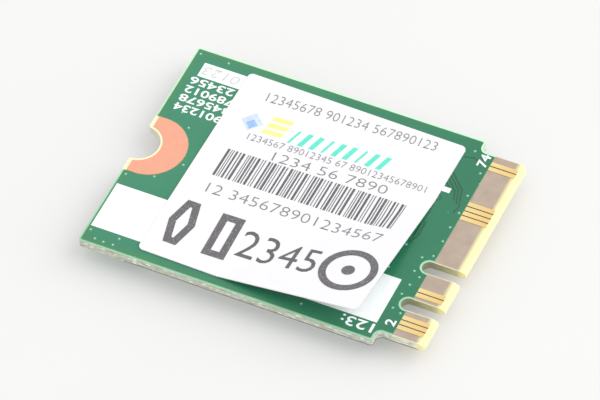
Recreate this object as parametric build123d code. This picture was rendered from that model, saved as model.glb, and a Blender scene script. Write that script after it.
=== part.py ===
from build123d import *
import os
from math import cos, hypot, radians, sin, tan

# Wireless card for a laptop: a bare board, 22 by 30 mm, with an edge connector at one end and a half-round
# screw notch at the other. It lies on its shield, with the labelled side up.
# X runs from the notch to the contacts, Y from the low-numbered contacts to the high ones, Z is up.
# The origin is on the surface that the card lies on, under the middle of the board. Lengths are in mm.

# Board outline
board_length = 30.0
board_width = 22.0
board_thickness = 0.8
board_corner_radius = 0.25
least_radius = 0.05
tongue_length = 4.05
shoulder_step = 1.075
tongue_relief_radius = 0.5
tongue_corner_radius = 0.35
bevel_run = 0.4
bevel_drop = 0.2

# Edge contacts and keys: the pin numbers set the places, even pins on the labelled side, odd on the other
pin_count = 75
pin_pitch = 0.25
finger_width = 0.39
key_slot_width = 1.2
key_slot_depth = 3.5
key_slot_pins = ((8, 15), (24, 31))
label_side_pins = (2, 4, 6, 16, 18, 50, 52, 54, 56, 72, 74)
shield_side_pins = (1, 3, 5, 7, *range(33, 59, 2), 63, 69, 75)

# Screw notch and the bare copper round it
notch_radius = 1.75
notch_lip_radius = 0.25
ground_pad_radius = 3.05
ground_pad_round_end = 1.05
ground_pad_setback = 0.2

# Films on the board
copper_thickness = 0.05
mask_thickness = 0.03
ink_thickness = 0.02
mask_setback = 0.15
finger_window = 2.75
film_gap = 0.02

# White ink fields: the wide one along the low side, a stamped one at the high side, a bar by the label
wide_field_from_notch_end = 0.3
wide_field_from_shoulder = 0.35
wide_field_from_low_side = 1.7
wide_field_height = 4.7
stamp_field_from_notch_end = 1.25
stamp_field_length = 6.25
stamp_field_from_high_side = 1.35
stamp_field_height = 1.5
bar_field_from_shoulder = 0.55
bar_field_length = 2.9
bar_field_from_high_side = 5.6
bar_field_height = 0.5

# Paper label, with one corner lifted along a crease
label_from_notch_end = 4.98
label_from_shoulder = 1.3
label_from_low_side = 0.84
label_from_high_side = 1.1
label_sheet = 0.1
label_corner_radius = 0.45
label_turn = -0.95
crease_from_notch_corner = 7.1
crease_from_high_corner = 5.95
crease_lift = 12.0
crease_radius = 1.5

# Shield: a soldered frame and a lid that snaps over it, both folded from sheet with open corners
shield_from_notch_end = 4.25
shield_from_shoulder = 0.7
shield_from_side = 0.8
headroom_over_parts = 0.1
shell_corner_radius = 0.3
lid_sheet = 0.12
lid_fold_radius = 0.25
lid_to_board = 0.3
lid_to_frame = 0.03
lid_corner_opening = 1.0
lid_slit_width = 0.3
frame_sheet = 0.15
frame_fold_radius = 0.25
frame_corner_opening = 0.35
frame_flange = 0.7
frame_bridge = 2.2
window_corner_radius = 0.35
frame_track_width = 0.6
track_corner_radius = 0.5
foot_gap_width = 1.2
foot_gap_height = 0.2
tabs_per_side = 4
bead_length = 1.6
bead_height = 0.36
bead_depth = 0.1
bead_slope = 30.0
bead_gap = 0.07
bead_from_lid = 0.5

# Antenna connectors at the notch end
antenna_from_end = 2.0
antenna_from_side = 2.9
antenna_base = 1.7
antenna_base_height = 0.15
antenna_lug_span = 2.1
antenna_lug_width = 0.9
antenna_lug_sheet = 0.1
antenna_ring_radius = 0.75
antenna_ring_wall = 0.12
antenna_height = 0.6
antenna_groove_depth = 0.04
antenna_groove_width = 0.14
antenna_groove_below_top = 0.13
antenna_base_corner = 0.1
antenna_pin_radius = 0.14
antenna_pin_edge = 0.07
antenna_pin_below_ring = 0.12
antenna_tail_width = 0.3
antenna_tail_reach = 1.05
antenna_gap = 0.02

# Parts under the shield
part_gap = 0.4
package_edge = 0.06
first_lead_corner = 0.3
radio_size = 7.0
radio_height = 0.8
radio_leads_per_side = 15
lead_pitch = 0.4
lead_width = 0.2
lead_reach = 0.15
lead_height = 0.2
front_end_size = 3.0
front_end_height = 0.5
front_end_leads_per_side = 5
diplexer_length = 2.0
diplexer_width = 1.25
diplexer_height = 0.7
filter_length = 1.6
filter_width = 0.8
filter_height = 0.6
filter_from_middle = 1.3
crystal_length = 2.5
crystal_width = 2.0
crystal_base_height = 0.35
crystal_lid_height = 0.2
crystal_lid_inset = 0.15
coil_length = 2.5
coil_width = 2.0
coil_height = 0.95
coil_terminal = 0.5
memory_length = 3.0
memory_width = 2.0
memory_height = 0.55
memory_leads_per_side = 4
regulator_size = 2.0
regulator_height = 0.5
chip_length = 1.0
chip_width = 0.5
chip_height = 0.5
chip_pitch = 0.95
capacitor_column_pitch = 2.0
chip_terminal = 0.25
terminal_proud = 0.02
capacitors_per_row = 7
matching_coils_per_chip = 3
resistors_per_row = 3
resistor_height = 0.35

# Board places that follow from the sizes above
board_end = board_length / 2
board_side = board_width / 2
shoulder = board_end - tongue_length
tongue_side = board_side - shoulder_step
tallest_part = max(
    radio_height,
    front_end_height,
    diplexer_height,
    filter_height,
    crystal_base_height + crystal_lid_height,
    coil_height,
    memory_height,
    regulator_height,
    chip_height,
    resistor_height,
)
shield_height = mask_thickness + tallest_part + headroom_over_parts + frame_sheet + lid_sheet
board_low_face = shield_height
board_top_face = shield_height + board_thickness
shield_seat = board_low_face - mask_thickness
frame_seat = board_low_face - copper_thickness
antenna_x = -board_end + antenna_from_end
antenna_y = board_side - antenna_from_side
finger_length = finger_window - bevel_run - 2 * film_gap
finger_middle = board_end - bevel_run - film_gap - finger_length / 2

# Shield places
shield_length = board_length - tongue_length - shield_from_notch_end - shield_from_shoulder
shield_width = board_width - 2 * shield_from_side
shield_middle = -board_end + shield_from_notch_end + shield_length / 2
frame_inset = lid_sheet + lid_to_frame
frame_length = shield_length - 2 * frame_inset
frame_width = shield_width - 2 * frame_inset
cavity_start = shield_middle - frame_length / 2 + frame_sheet
cavity_end = shield_middle + frame_length / 2 - frame_sheet

# Places of the parts under the shield, in a chain from the antenna end
front_end_x = cavity_start + part_gap + lead_reach + front_end_size / 2
past_front_end = front_end_x + front_end_size / 2 + lead_reach + part_gap
matching_x = past_front_end + chip_length / 2
past_matching = matching_x + chip_length / 2 + part_gap
radio_x = past_matching + lead_reach + radio_size / 2
radio_row = radio_size / 2 + lead_reach + part_gap + chip_length / 2
front_end_y = filter_from_middle + filter_width / 2 + part_gap + lead_reach + front_end_size / 2
diplexer_y = front_end_y + front_end_size / 2 + lead_reach + part_gap + diplexer_width / 2
past_radio_row = radio_row + chip_length / 2 + part_gap
crystal_x = past_matching + crystal_length / 2
crystal_y = past_radio_row + crystal_width / 2
memory_x = crystal_x + crystal_length / 2 + part_gap + memory_length / 2
memory_y = past_radio_row + lead_reach + memory_width / 2
coil_x = past_matching + coil_length / 2
coil_y = -past_radio_row - coil_width / 2
regulator_x = coil_x + coil_length / 2 + part_gap + regulator_size / 2
regulator_y = -past_radio_row - regulator_size / 2


def corners_near(sketch, points):
    """The corners of a sketch that lie at the given points."""
    reach = 0.001
    return [
        corner
        for corner in sketch.vertices()
        if any(hypot(corner.X - x, corner.Y - y) < reach for x, y in points)
    ]


def pin_y(pin):
    return (pin - (pin_count + 1) / 2) * pin_pitch


def key_slot_y(pins):
    return (pin_y(pins[0]) + pin_y(pins[1])) / 2


def board_outline(setback=0.0):
    """The board's outline, drawn in by a setback all round."""
    body_length = board_length - tongue_length - 2 * setback
    body_end = shoulder - setback
    body_side = board_side - setback
    half_tongue = tongue_side - setback
    tongue_end = board_end - setback
    notch = notch_radius + setback
    body = Pos((body_end - board_end + setback) / 2, 0) * Rectangle(body_length, 2 * body_side)
    tongue = Pos(tongue_end / 2, 0) * Rectangle(tongue_end, 2 * half_tongue)
    outline = body + tongue
    relief = [(body_end, half_tongue), (body_end, -half_tongue)]
    outline = fillet(corners_near(outline, relief), tongue_relief_radius + setback)
    round_corner = max(board_corner_radius - setback, least_radius)
    outer = [(x, y) for x in (body_end, -board_end + setback) for y in (body_side, -body_side)]
    outline = fillet(corners_near(outline, outer), round_corner)
    tips = [(tongue_end, half_tongue), (tongue_end, -half_tongue)]
    outline = fillet(corners_near(outline, tips), tongue_corner_radius)
    outline -= Pos(-board_end, 0) * Circle(notch)
    mouth = (notch**2 - setback**2) ** 0.5
    lips = [(-board_end + setback, mouth), (-board_end + setback, -mouth)]
    outline = fillet(corners_near(outline, lips), max(notch_lip_radius - setback, least_radius))
    slot_width = key_slot_width + 2 * setback
    slot_middle = board_end - key_slot_depth + key_slot_width / 2
    for pins in key_slot_pins:
        slot_end = Pos(slot_middle, key_slot_y(pins)) * Circle(slot_width / 2)
        slot_side = Pos(slot_middle + key_slot_depth / 2, key_slot_y(pins)) * Rectangle(
            key_slot_depth, slot_width
        )
        outline -= slot_end + slot_side
    return outline


def circuit_board():
    """Glass-fibre laminate, with the contact end bevelled on both faces."""
    board = Pos(0, 0, board_low_face) * extrude(board_outline(), board_thickness)
    for face, away in ((board_top_face, 1), (board_low_face, -1)):
        wedge = Polyline(
            (board_end - bevel_run, face),
            (board_end, face - away * bevel_drop),
            (board_end + bevel_run, face - away * 2 * bevel_drop),
            (board_end + bevel_run, face + away * bevel_drop),
            (board_end - bevel_run, face + away * bevel_drop),
            close=True,
        )
        board -= extrude(Plane.XZ * make_face(wedge), board_width, both=True)
    return board


def ground_pad_outline(spread=0.0, reach_edge=False):
    """D-shaped copper round the screw notch; spread widens it for the window in the mask."""
    start = -board_end if reach_edge else -board_end + ground_pad_setback + mask_setback
    middle = -board_end + ground_pad_round_end
    radius = ground_pad_radius + spread
    sides = Pos((start + middle) / 2, 0) * Rectangle(middle - start, 2 * radius)
    round_end = Pos(middle, 0) * Circle(radius)
    beyond_middle = Pos(middle + radius, 0) * Rectangle(2 * radius, 2 * radius)
    return sides + (round_end & beyond_middle)


def film(outline, face, thickness, away):
    """A thin layer on a face of the board: away is 1 on the labelled side and -1 on the other."""
    low = face if away > 0 else face - thickness
    return Pos(0, 0, low) * extrude(outline, thickness)


def ground_pad(face, away):
    outline = ground_pad_outline() - Pos(-board_end, 0) * Circle(notch_radius + ground_pad_setback)
    return film(outline, face, copper_thickness, away)


def contact_fingers(pins, face, away):
    """Gold contacts side by side, one solid for each pin that has room on the tongue."""
    room = tongue_side - finger_width
    places = [Pos(finger_middle, pin_y(pin)) for pin in pins if abs(pin_y(pin)) < room]
    finger = Rectangle(finger_length, finger_width)
    return [film(place * finger, face, copper_thickness, away) for place in places]


def mask_outline():
    tongue_window = Pos(board_end, 0) * Rectangle(2 * finger_window, board_width)
    return board_outline(mask_setback) - tongue_window - ground_pad_outline(film_gap, reach_edge=True)


def track_outline(spread=0.0):
    """Ring of bare copper that the shield frame is soldered to, open where the antenna lines pass."""
    middle_length = frame_length - frame_sheet
    middle_width = frame_width - frame_sheet
    width = frame_track_width + 2 * spread
    outside = RectangleRounded(middle_length + width, middle_width + width, track_corner_radius)
    inside = Rectangle(middle_length - width, middle_width - width)
    ring = Pos(shield_middle, 0) * (outside - inside)
    for side in (1, -1):
        opening = Rectangle(4 * frame_track_width, foot_gap_width - 2 * spread)
        ring -= Pos(shield_middle - middle_length / 2, side * antenna_y) * opening
    return ring


def ink_field(start, end, low, high):
    outline = Pos((start + end) / 2, (low + high) / 2) * Rectangle(end - start, high - low)
    return film(outline, board_top_face + mask_thickness, ink_thickness, 1)


def ink_fields():
    """White areas on the labelled side: two for stamped marks and a short bar at the label's edge."""
    wide_start = -board_end + wide_field_from_notch_end
    wide_low = -board_side + wide_field_from_low_side
    stamp_start = -board_end + stamp_field_from_notch_end
    stamp_high = board_side - stamp_field_from_high_side
    bar_end = shoulder - bar_field_from_shoulder
    bar_high = board_side - bar_field_from_high_side
    return [
        ink_field(
            wide_start, shoulder - wide_field_from_shoulder, wide_low, wide_low + wide_field_height
        ),
        ink_field(
            stamp_start, stamp_start + stamp_field_length, stamp_high - stamp_field_height, stamp_high
        ),
        ink_field(bar_end - bar_field_length, bar_end, bar_high - bar_field_height, bar_high),
    ]


def paper_label():
    """Square paper label whose corner has come up along a diagonal crease."""
    length = shoulder + board_end - label_from_notch_end - label_from_shoulder
    width = board_width - label_from_low_side - label_from_high_side
    lift = radians(crease_lift)
    low_point = Vector(crease_from_notch_corner, 0)
    high_point = Vector(length, width - crease_from_high_corner)
    along = (high_point - low_point).normalized()
    across = Vector(along.Y, -along.X)
    corner_reach = (Vector(length, 0) - low_point).dot(across)
    lifted_corner = Vector(length, 0) - across * (corner_reach * (1 - cos(lift)))
    points = [(0, 0), low_point, lifted_corner, high_point, (length, width), (0, width)]
    outline = make_face(Polyline(*points, close=True))
    rounded = [(0, 0), (lifted_corner.X, lifted_corner.Y), (length, width), (0, width)]
    outline = fillet(corners_near(outline, rounded), label_corner_radius)
    # The sheet's section across the crease: flat, one bend, then the lifted part
    span = length + width
    run, rise = span * cos(lift), span * sin(lift)
    lower = FilletPolyline((-span, 0), (0, 0), (run, rise), radius=crease_radius)
    inner_corner = -label_sheet * tan(lift / 2)
    end = (run - label_sheet * sin(lift), rise + label_sheet * cos(lift))
    upper = FilletPolyline(
        (-span, label_sheet), (inner_corner, label_sheet), end, radius=crease_radius - label_sheet
    )
    ends = Line((-span, 0), (-span, label_sheet)) + Line((run, rise), end)
    section_plane = Plane(origin=(low_point.X, low_point.Y, 0), x_dir=across, z_dir=along * -1)
    sheet = extrude(section_plane * make_face(lower + upper + ends), span, both=True)
    label = sheet & extrude(outline, span)
    middle = (
        -board_end + label_from_notch_end + length / 2,
        -board_side + label_from_low_side + width / 2,
        board_top_face + mask_thickness + ink_thickness,
    )
    return Location(middle, (0, 0, label_turn)) * Pos(-length / 2, -width / 2) * label


def shell_sides(length, width):
    """For each side of a shell: its turn about Z, its distance from the middle and its length."""
    return (
        (0, length / 2, width),
        (90, width / 2, length),
        (180, length / 2, width),
        (270, width / 2, length),
    )


def folded_shell(length, width, sheet, fold, corner_opening, height):
    """Sheet folded up along its four sides, with open corners, standing on its flat face."""
    flat_face = RectangleRounded(length - 2 * fold, width - 2 * fold, shell_corner_radius)
    shell = extrude(flat_face, sheet)
    section = (
        Line((-fold, sheet), (-fold, 0))
        + JernArc((-fold, 0), (1, 0), fold, 90)
        + Polyline((0, fold), (0, height), (-sheet, height), (-sheet, fold))
        + JernArc((-sheet, fold), (0, -1), fold - sheet, -90)
    )
    for turn, reach, side_length in shell_sides(length, width):
        wall_length = side_length - 2 * (fold + corner_opening)
        wall = extrude(Plane.XZ * make_face(section), wall_length / 2, both=True)
        shell += Rot(0, 0, turn) * Pos(reach, 0) * wall
    return shell


def tab_rows(length, width):
    """For each side of a shell: its turn, its distance from the middle, and where tabs and slits go."""
    rows = []
    spans = (shield_width, shield_length, shield_width, shield_length)
    for side, span in zip(shell_sides(length, width), spans):
        turn, reach = side[:2]
        pitch = (span - 2 * (lid_fold_radius + lid_corner_opening)) / tabs_per_side
        tabs = [(number - (tabs_per_side - 1) / 2) * pitch for number in range(tabs_per_side)]
        slits = [place + pitch / 2 for place in tabs[:-1]]
        rows.append((turn, reach, tabs, slits))
    return rows


def bead():
    """Tapered bead as a press forms it in a tab, pointing along its own Z."""
    return extrude(Rectangle(bead_height, bead_length), lid_sheet + bead_depth, taper=bead_slope)


def shield_lid():
    """Snap-on cover: four skirts cut into tabs, each with a bead that clicks into the frame."""
    skirt_height = shield_height - lid_to_board
    lid = folded_shell(
        shield_length, shield_width, lid_sheet, lid_fold_radius, lid_corner_opening, skirt_height
    )
    slit = Box(4 * lid_fold_radius, lid_slit_width, skirt_height)
    for turn, reach, tabs, slits in tab_rows(shield_length, shield_width):
        for y in slits:
            lid -= Rot(0, 0, turn) * Pos(reach, y, lid_fold_radius + skirt_height / 2) * slit
        for y in tabs:
            inward = Rot(0, 0, turn) * Pos(reach, y, lid_sheet + bead_from_lid) * Rot(0, -90, 0)
            lid += inward * bead()
            lid -= inward * Pos(0, 0, -lid_sheet) * bead()
    return Pos(shield_middle, 0) * lid


def shield_frame():
    """Soldered frame: walls on feet, a flange all round under the lid, and a bridge to lift it by."""
    height = frame_seat - lid_sheet
    frame = folded_shell(
        frame_length, frame_width, frame_sheet, frame_fold_radius, frame_corner_opening, height
    )
    border = frame_sheet + frame_flange
    window_length = (frame_length - 2 * border - frame_bridge) / 2
    window_width = frame_width - 2 * border
    window = extrude(RectangleRounded(window_length, window_width, window_corner_radius), 2 * frame_sheet)
    for side in (1, -1):
        frame -= Pos(side * (window_length + frame_bridge) / 2, 0) * window
    slot = Box(6 * frame_sheet, bead_length + 2 * bead_gap, bead_height + 2 * bead_gap)
    foot_gap = Box(4 * frame_sheet, foot_gap_width, 2 * foot_gap_height)
    for turn, reach, tabs, slits in tab_rows(frame_length, frame_width):
        for y in tabs:
            frame -= Rot(0, 0, turn) * Pos(reach, y, bead_from_lid) * slot
        for y in slits:
            frame -= Rot(0, 0, turn) * Pos(reach, y, height) * foot_gap
    for side in (1, -1):
        frame -= Pos(-frame_length / 2, side * antenna_y, height) * foot_gap
    return Pos(shield_middle, 0, lid_sheet) * frame


def on_shield_side(x, y, turn=0):
    """Where a part is mounted under the board; its own Z points away from the board."""
    return Location((x, y, shield_seat), (180, 0, turn))


def package(length, width, height):
    """Moulded package with eased edges and one corner cut beside its first lead."""
    body = extrude(Rectangle(length, width), height)
    first_corner = body.edges().filter_by(Axis.Z).sort_by(lambda edge: edge.center().X + edge.center().Y)
    body = chamfer(first_corner[-1], first_lead_corner)
    return chamfer(body.faces().sort_by(Axis.Z)[-1].edges(), package_edge)


def leads(length, width, per_end, per_side):
    """Short leads that stand against the package's four sides, on the board."""
    lead = Box(lead_reach, lead_width, lead_height, align=(Align.MIN, Align.CENTER, Align.MIN))
    rows = ((0, length / 2, per_end), (90, width / 2, per_side), (180, length / 2, per_end))
    rows = (*rows, (270, width / 2, per_side))
    places = [
        Rot(0, 0, turn) * Pos(reach, (number - (count - 1) / 2) * lead_pitch)
        for turn, reach, count in rows
        for number in range(count)
    ]
    return [place * lead for place in places]


def chip_body(length, width, height, terminal):
    """Middle of a two-ended chip part, between its terminals."""
    return extrude(Rectangle(length - 2 * terminal, width), height - terminal_proud)


def chip_terminals(length, width, height, terminal):
    """The two plated ends, a little larger than the body."""
    end = extrude(Rectangle(terminal, width + 2 * terminal_proud), height)
    reach = (length - terminal) / 2
    return [Pos(reach, 0) * end, Pos(-reach, 0) * end]


def row_steps(count):
    return [(number - (count - 1) / 2) * chip_pitch for number in range(count)]


def capacitor_places():
    """A row along two sides of the radio chip, and columns that fill the room at its far side."""
    steps = row_steps(capacitors_per_row)
    above = [on_shield_side(radio_x + step, radio_row, 90) for step in steps]
    below = [on_shield_side(radio_x + step, -radio_row, 90) for step in steps]
    first = radio_x + radio_row
    room = cavity_end - part_gap - chip_length / 2 - first
    column_count = int(room / capacitor_column_pitch) + 1
    columns = [first + number * capacitor_column_pitch for number in range(column_count)]
    return above + below + [on_shield_side(column, step) for column in columns for step in steps]


def matching_places():
    """Small coils between the radio chip and each front-end chip."""
    steps = row_steps(matching_coils_per_chip)
    return [on_shield_side(matching_x, side * front_end_y + step) for side in (1, -1) for step in steps]


def resistor_places():
    """Resistors in line with the memory chip and with the voltage regulator."""
    past_memory = memory_x + memory_length / 2 + part_gap + chip_width / 2
    past_regulator = regulator_x + regulator_size / 2 + part_gap + chip_width / 2
    return [
        on_shield_side(first + number * chip_pitch, y, 90)
        for first, y in ((past_memory, memory_y), (past_regulator, regulator_y))
        for number in range(resistors_per_row)
    ]


def antenna_insulator():
    """Moulded base with a channel for the centre contact's tail."""
    base = extrude(Rectangle(antenna_base, antenna_base), antenna_base_height)
    base = chamfer(base.edges().filter_by(Axis.Z), antenna_base_corner)
    tail = antenna_lug_sheet + antenna_gap
    channel = Box(antenna_tail_width + 2 * antenna_gap, antenna_base, 2 * tail)
    base -= Pos(0, antenna_base / 2) * channel
    return base - Cylinder(antenna_pin_radius + antenna_gap, antenna_height)


def antenna_shell():
    """Outer contact: a round ring with a snap groove, on a strap with two solder lugs."""
    strap = extrude(
        Rectangle(antenna_lug_span, antenna_lug_width), antenna_base_height + antenna_lug_sheet
    )
    seat = antenna_base + 2 * antenna_gap
    strap -= Box(seat, seat, 2 * antenna_base_height)
    inner = antenna_ring_radius - antenna_ring_wall
    foot, top = antenna_base_height, antenna_height
    groove_high = top - antenna_groove_below_top
    groove_low = groove_high - antenna_groove_width
    groove = antenna_ring_radius - antenna_groove_depth
    section = Polyline(
        (inner, foot),
        (antenna_ring_radius, foot),
        (antenna_ring_radius, groove_low),
        (groove, groove_low),
        (groove, groove_high),
        (antenna_ring_radius, groove_high),
        (antenna_ring_radius, top),
        (inner, top),
        close=True,
    )
    ring = revolve(Plane.XZ * make_face(section), Axis.Z)
    bore = extrude(Circle(inner), antenna_height)
    return (strap - bore) + ring


def antenna_pin():
    """Centre contact: a round pin with a flat tail that is soldered to the board."""
    top = antenna_height - antenna_pin_below_ring
    pin = extrude(Circle(antenna_pin_radius), top)
    pin = chamfer(pin.faces().sort_by(Axis.Z)[-1].edges(), antenna_pin_edge)
    tail = Pos(0, antenna_tail_reach / 2) * Rectangle(antenna_tail_width, antenna_tail_reach)
    return pin + extrude(tail, antenna_lug_sheet)


def chip_group(places, length, width, height, terminal):
    """Bodies and terminals of equal chip parts at several places."""
    bodies = [place * chip_body(length, width, height, terminal) for place in places]
    ends = [
        place * end for place in places for end in chip_terminals(length, width, height, terminal)
    ]
    return bodies, ends


def build_nodes():
    nodes = {}
    nodes["circuit_board"] = [circuit_board()]
    nodes["solder_mask_label_side"] = [film(mask_outline(), board_top_face, mask_thickness, 1)]
    shield_mask = mask_outline() - track_outline(film_gap)
    nodes["solder_mask_shield_side"] = [film(shield_mask, board_low_face, mask_thickness, -1)]
    nodes["ground_pad_label_side"] = [ground_pad(board_top_face, 1)]
    nodes["ground_pad_shield_side"] = [ground_pad(board_low_face, -1)]
    nodes["contact_fingers_label_side"] = contact_fingers(label_side_pins, board_top_face, 1)
    nodes["contact_fingers_shield_side"] = contact_fingers(shield_side_pins, board_low_face, -1)
    nodes["white_ink_fields"] = ink_fields()
    nodes["paper_label"] = [paper_label()]
    nodes["shield_track"] = [film(track_outline(), board_low_face, copper_thickness, -1)]
    nodes["shield_frame"] = [shield_frame()]
    nodes["shield_lid"] = [shield_lid()]

    radio = on_shield_side(radio_x, 0)
    nodes["radio_chip"] = [radio * package(radio_size, radio_size, radio_height)]
    nodes["radio_chip_leads"] = [
        radio * lead
        for lead in leads(radio_size, radio_size, radio_leads_per_side, radio_leads_per_side)
    ]

    front_end_leads_all = []
    for name, side in (("main", 1), ("second", -1)):
        place = on_shield_side(front_end_x, side * front_end_y)
        body = package(front_end_size, front_end_size, front_end_height)
        nodes[f"front_end_chip_{name}"] = [place * body]
        per_side = front_end_leads_per_side
        around = leads(front_end_size, front_end_size, per_side, per_side)
        front_end_leads_all += [place * lead for lead in around]
    nodes["front_end_chip_leads"] = front_end_leads_all

    memory = on_shield_side(memory_x, memory_y)
    nodes["memory_chip"] = [memory * package(memory_length, memory_width, memory_height)]
    nodes["memory_chip_leads"] = [
        memory * lead for lead in leads(memory_length, memory_width, 0, memory_leads_per_side)
    ]
    regulator = on_shield_side(regulator_x, regulator_y)
    nodes["voltage_regulator"] = [regulator * package(regulator_size, regulator_size, regulator_height)]

    diplexers = [on_shield_side(front_end_x, side * diplexer_y) for side in (1, -1)]
    filters = [on_shield_side(front_end_x, side * filter_from_middle) for side in (1, -1)]
    diplexer_parts = chip_group(
        diplexers, diplexer_length, diplexer_width, diplexer_height, chip_terminal
    )
    filter_parts = chip_group(filters, filter_length, filter_width, filter_height, chip_terminal)
    nodes["diplexer_bodies"] = diplexer_parts[0]
    nodes["filter_bodies"] = filter_parts[0]
    nodes["filter_terminals"] = diplexer_parts[1] + filter_parts[1]

    crystal = on_shield_side(crystal_x, crystal_y)
    base = extrude(Rectangle(crystal_length, crystal_width), crystal_base_height)
    cap_length = crystal_length - 2 * crystal_lid_inset
    cap_width = crystal_width - 2 * crystal_lid_inset
    cap = extrude(RectangleRounded(cap_length, cap_width, crystal_lid_inset), crystal_lid_height)
    nodes["crystal_base"] = [crystal * base]
    nodes["crystal_lid"] = [crystal * Pos(0, 0, crystal_base_height) * cap]

    coil = [on_shield_side(coil_x, coil_y)]
    coil_parts = chip_group(coil, coil_length, coil_width, coil_height, coil_terminal)
    nodes["power_coil_body"], nodes["power_coil_terminals"] = coil_parts

    capacitors = chip_group(capacitor_places(), chip_length, chip_width, chip_height, chip_terminal)
    nodes["capacitor_bodies"], nodes["capacitor_terminals"] = capacitors
    matching = chip_group(matching_places(), chip_length, chip_width, chip_height, chip_terminal)
    nodes["matching_coil_bodies"], nodes["matching_coil_terminals"] = matching
    resistors = chip_group(resistor_places(), chip_length, chip_width, resistor_height, chip_terminal)
    nodes["resistor_bodies"], nodes["resistor_terminals"] = resistors

    for name, side in (("main", 1), ("second", -1)):
        place = on_shield_side(antenna_x, side * antenna_y, 90)
        nodes[f"antenna_{name}_insulator"] = [place * antenna_insulator()]
        nodes[f"antenna_{name}_shell"] = [place * antenna_shell()]
        nodes[f"antenna_{name}_pin"] = [place * antenna_pin()]
    return nodes


os.makedirs("parts", exist_ok=True)
for node, solids in build_nodes().items():
    shape = solids[0] if len(solids) == 1 else Compound(children=solids)
    export_step(shape, f"parts/{node}.step")
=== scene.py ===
# %% [markdown]
# # A laptop wifi card
#
# The object is a bare plug-in radio card of 30 by 22 mm: a green circuit board with gold contacts at one end
# and a half-round screw notch at the other. A white paper label covers most of its upper face, and one corner
# of that label has come up. The card lies on the metal shield that is on its other side.
#
# The solid parts come from the CAD model. This script gives each of them a finish, and adds what is too thin
# to be a part: print on the label, white legend on the board, painted shade in the gaps between the contacts,
# small plated holes with painted glints, and tracks that show through the green lacquer.

# %% Load the model that everything is built round
import math

import bmesh
import bpy
from mathutils import Matrix, Vector


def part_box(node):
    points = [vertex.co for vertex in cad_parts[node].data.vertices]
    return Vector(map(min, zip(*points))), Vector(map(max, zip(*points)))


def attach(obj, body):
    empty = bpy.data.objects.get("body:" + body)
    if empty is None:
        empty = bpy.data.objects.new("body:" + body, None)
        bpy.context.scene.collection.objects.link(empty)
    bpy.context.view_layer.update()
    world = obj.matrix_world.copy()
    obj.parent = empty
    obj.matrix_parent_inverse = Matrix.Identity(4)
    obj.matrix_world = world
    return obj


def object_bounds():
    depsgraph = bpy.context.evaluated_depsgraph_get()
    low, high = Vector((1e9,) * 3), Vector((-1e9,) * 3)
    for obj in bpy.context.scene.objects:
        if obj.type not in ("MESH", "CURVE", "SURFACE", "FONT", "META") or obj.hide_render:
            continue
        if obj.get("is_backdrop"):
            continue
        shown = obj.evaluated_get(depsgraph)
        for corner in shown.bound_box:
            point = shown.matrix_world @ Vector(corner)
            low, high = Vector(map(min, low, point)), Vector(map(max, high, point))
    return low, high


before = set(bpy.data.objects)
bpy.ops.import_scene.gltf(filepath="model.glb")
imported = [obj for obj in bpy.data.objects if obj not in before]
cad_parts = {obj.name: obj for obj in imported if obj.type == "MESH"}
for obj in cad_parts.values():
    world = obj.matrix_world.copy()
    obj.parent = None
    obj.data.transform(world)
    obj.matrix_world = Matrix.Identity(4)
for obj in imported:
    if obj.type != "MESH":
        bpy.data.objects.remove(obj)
cad_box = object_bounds()
MM = 0.001
print("nodes", len(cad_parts), "size in mm", [round(side / MM, 2) for side in cad_box[1] - cad_box[0]])

# %% [markdown]
# ## The camera
#
# The picture is a close product shot, taken with a long lens, which keeps the board's long edges almost
# parallel. The camera's place is given as two angles, a distance and a roll about its own axis, because these
# say more to a reader than three coordinates.

# %% Place the camera
camera_azimuth = math.radians(29.22)
camera_elevation = math.radians(50.74)
camera_roll = math.radians(-4.85)
camera_distance = 449.9 * MM
camera_target = Vector((-0.35, -0.38, 2.15)) * MM
camera_focal_length = 336.2


def add_object(name, data):
    """A new object in the scene; gives it."""
    made = bpy.data.objects.new(name, data)
    bpy.context.scene.collection.objects.link(made)
    return made


toward_camera = Vector((
    math.sin(camera_azimuth) * math.cos(camera_elevation),
    -math.cos(camera_azimuth) * math.cos(camera_elevation),
    math.sin(camera_elevation),
))
camera_data = bpy.data.cameras.new("camera")
camera_data.lens = camera_focal_length
camera_data.clip_start = 0.01
camera = add_object("camera", camera_data)
turn_to_target = (-toward_camera).to_track_quat("-Z", "Y").to_matrix().to_4x4()
camera.matrix_world = (
    Matrix.Translation(camera_target + toward_camera * camera_distance)
    @ turn_to_target
    @ Matrix.Rotation(camera_roll, 4, "Z")
)
bpy.context.scene.camera = camera
print("camera at", [round(value, 4) for value in camera.matrix_world.translation])

# %% [markdown]
# ## The light
#
# The card lies on a white sweep in very soft, bright light. Most of it comes from all round, which a white
# world gives. One broad lamp stands far off to the right, so the soft shadow falls toward the notch and the
# viewer. The standard view transform keeps the paper white.

# %% Set the light
world_strength = 0.88
lamp_place = Vector((960, 560, 820)) * MM
lamp_size = 1700 * MM
lamp_power = 14.0

scene = bpy.context.scene
scene.view_settings.view_transform = "Standard"
world = bpy.data.worlds.new("white room")
world.use_nodes = True
background = world.node_tree.nodes["Background"]
background.inputs["Color"].default_value = (1.0, 1.0, 1.0, 1.0)
background.inputs["Strength"].default_value = world_strength
scene.world = world

lamp_data = bpy.data.lights.new("broad lamp", "AREA")
lamp_data.shape = "DISK"
lamp_data.size = lamp_size
lamp_data.energy = lamp_power
lamp = add_object("broad lamp", lamp_data)
turn_to_card = (-lamp_place).to_track_quat("-Z", "Y").to_matrix().to_4x4()
lamp.matrix_world = Matrix.Translation(lamp_place) @ turn_to_card
print("lamp", round(lamp_place.length, 2), "m away,", lamp_size, "m wide")

# %% [markdown]
# ## Helpers for colour and nodes
#
# One call both makes a node and fills its inputs: a socket becomes a link, and any other value is typed in. A
# colour is easiest to judge as the three values of 0 to 255 that a screen shows, so it is given like that and
# turned into the linear values that a shader wants.

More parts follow.
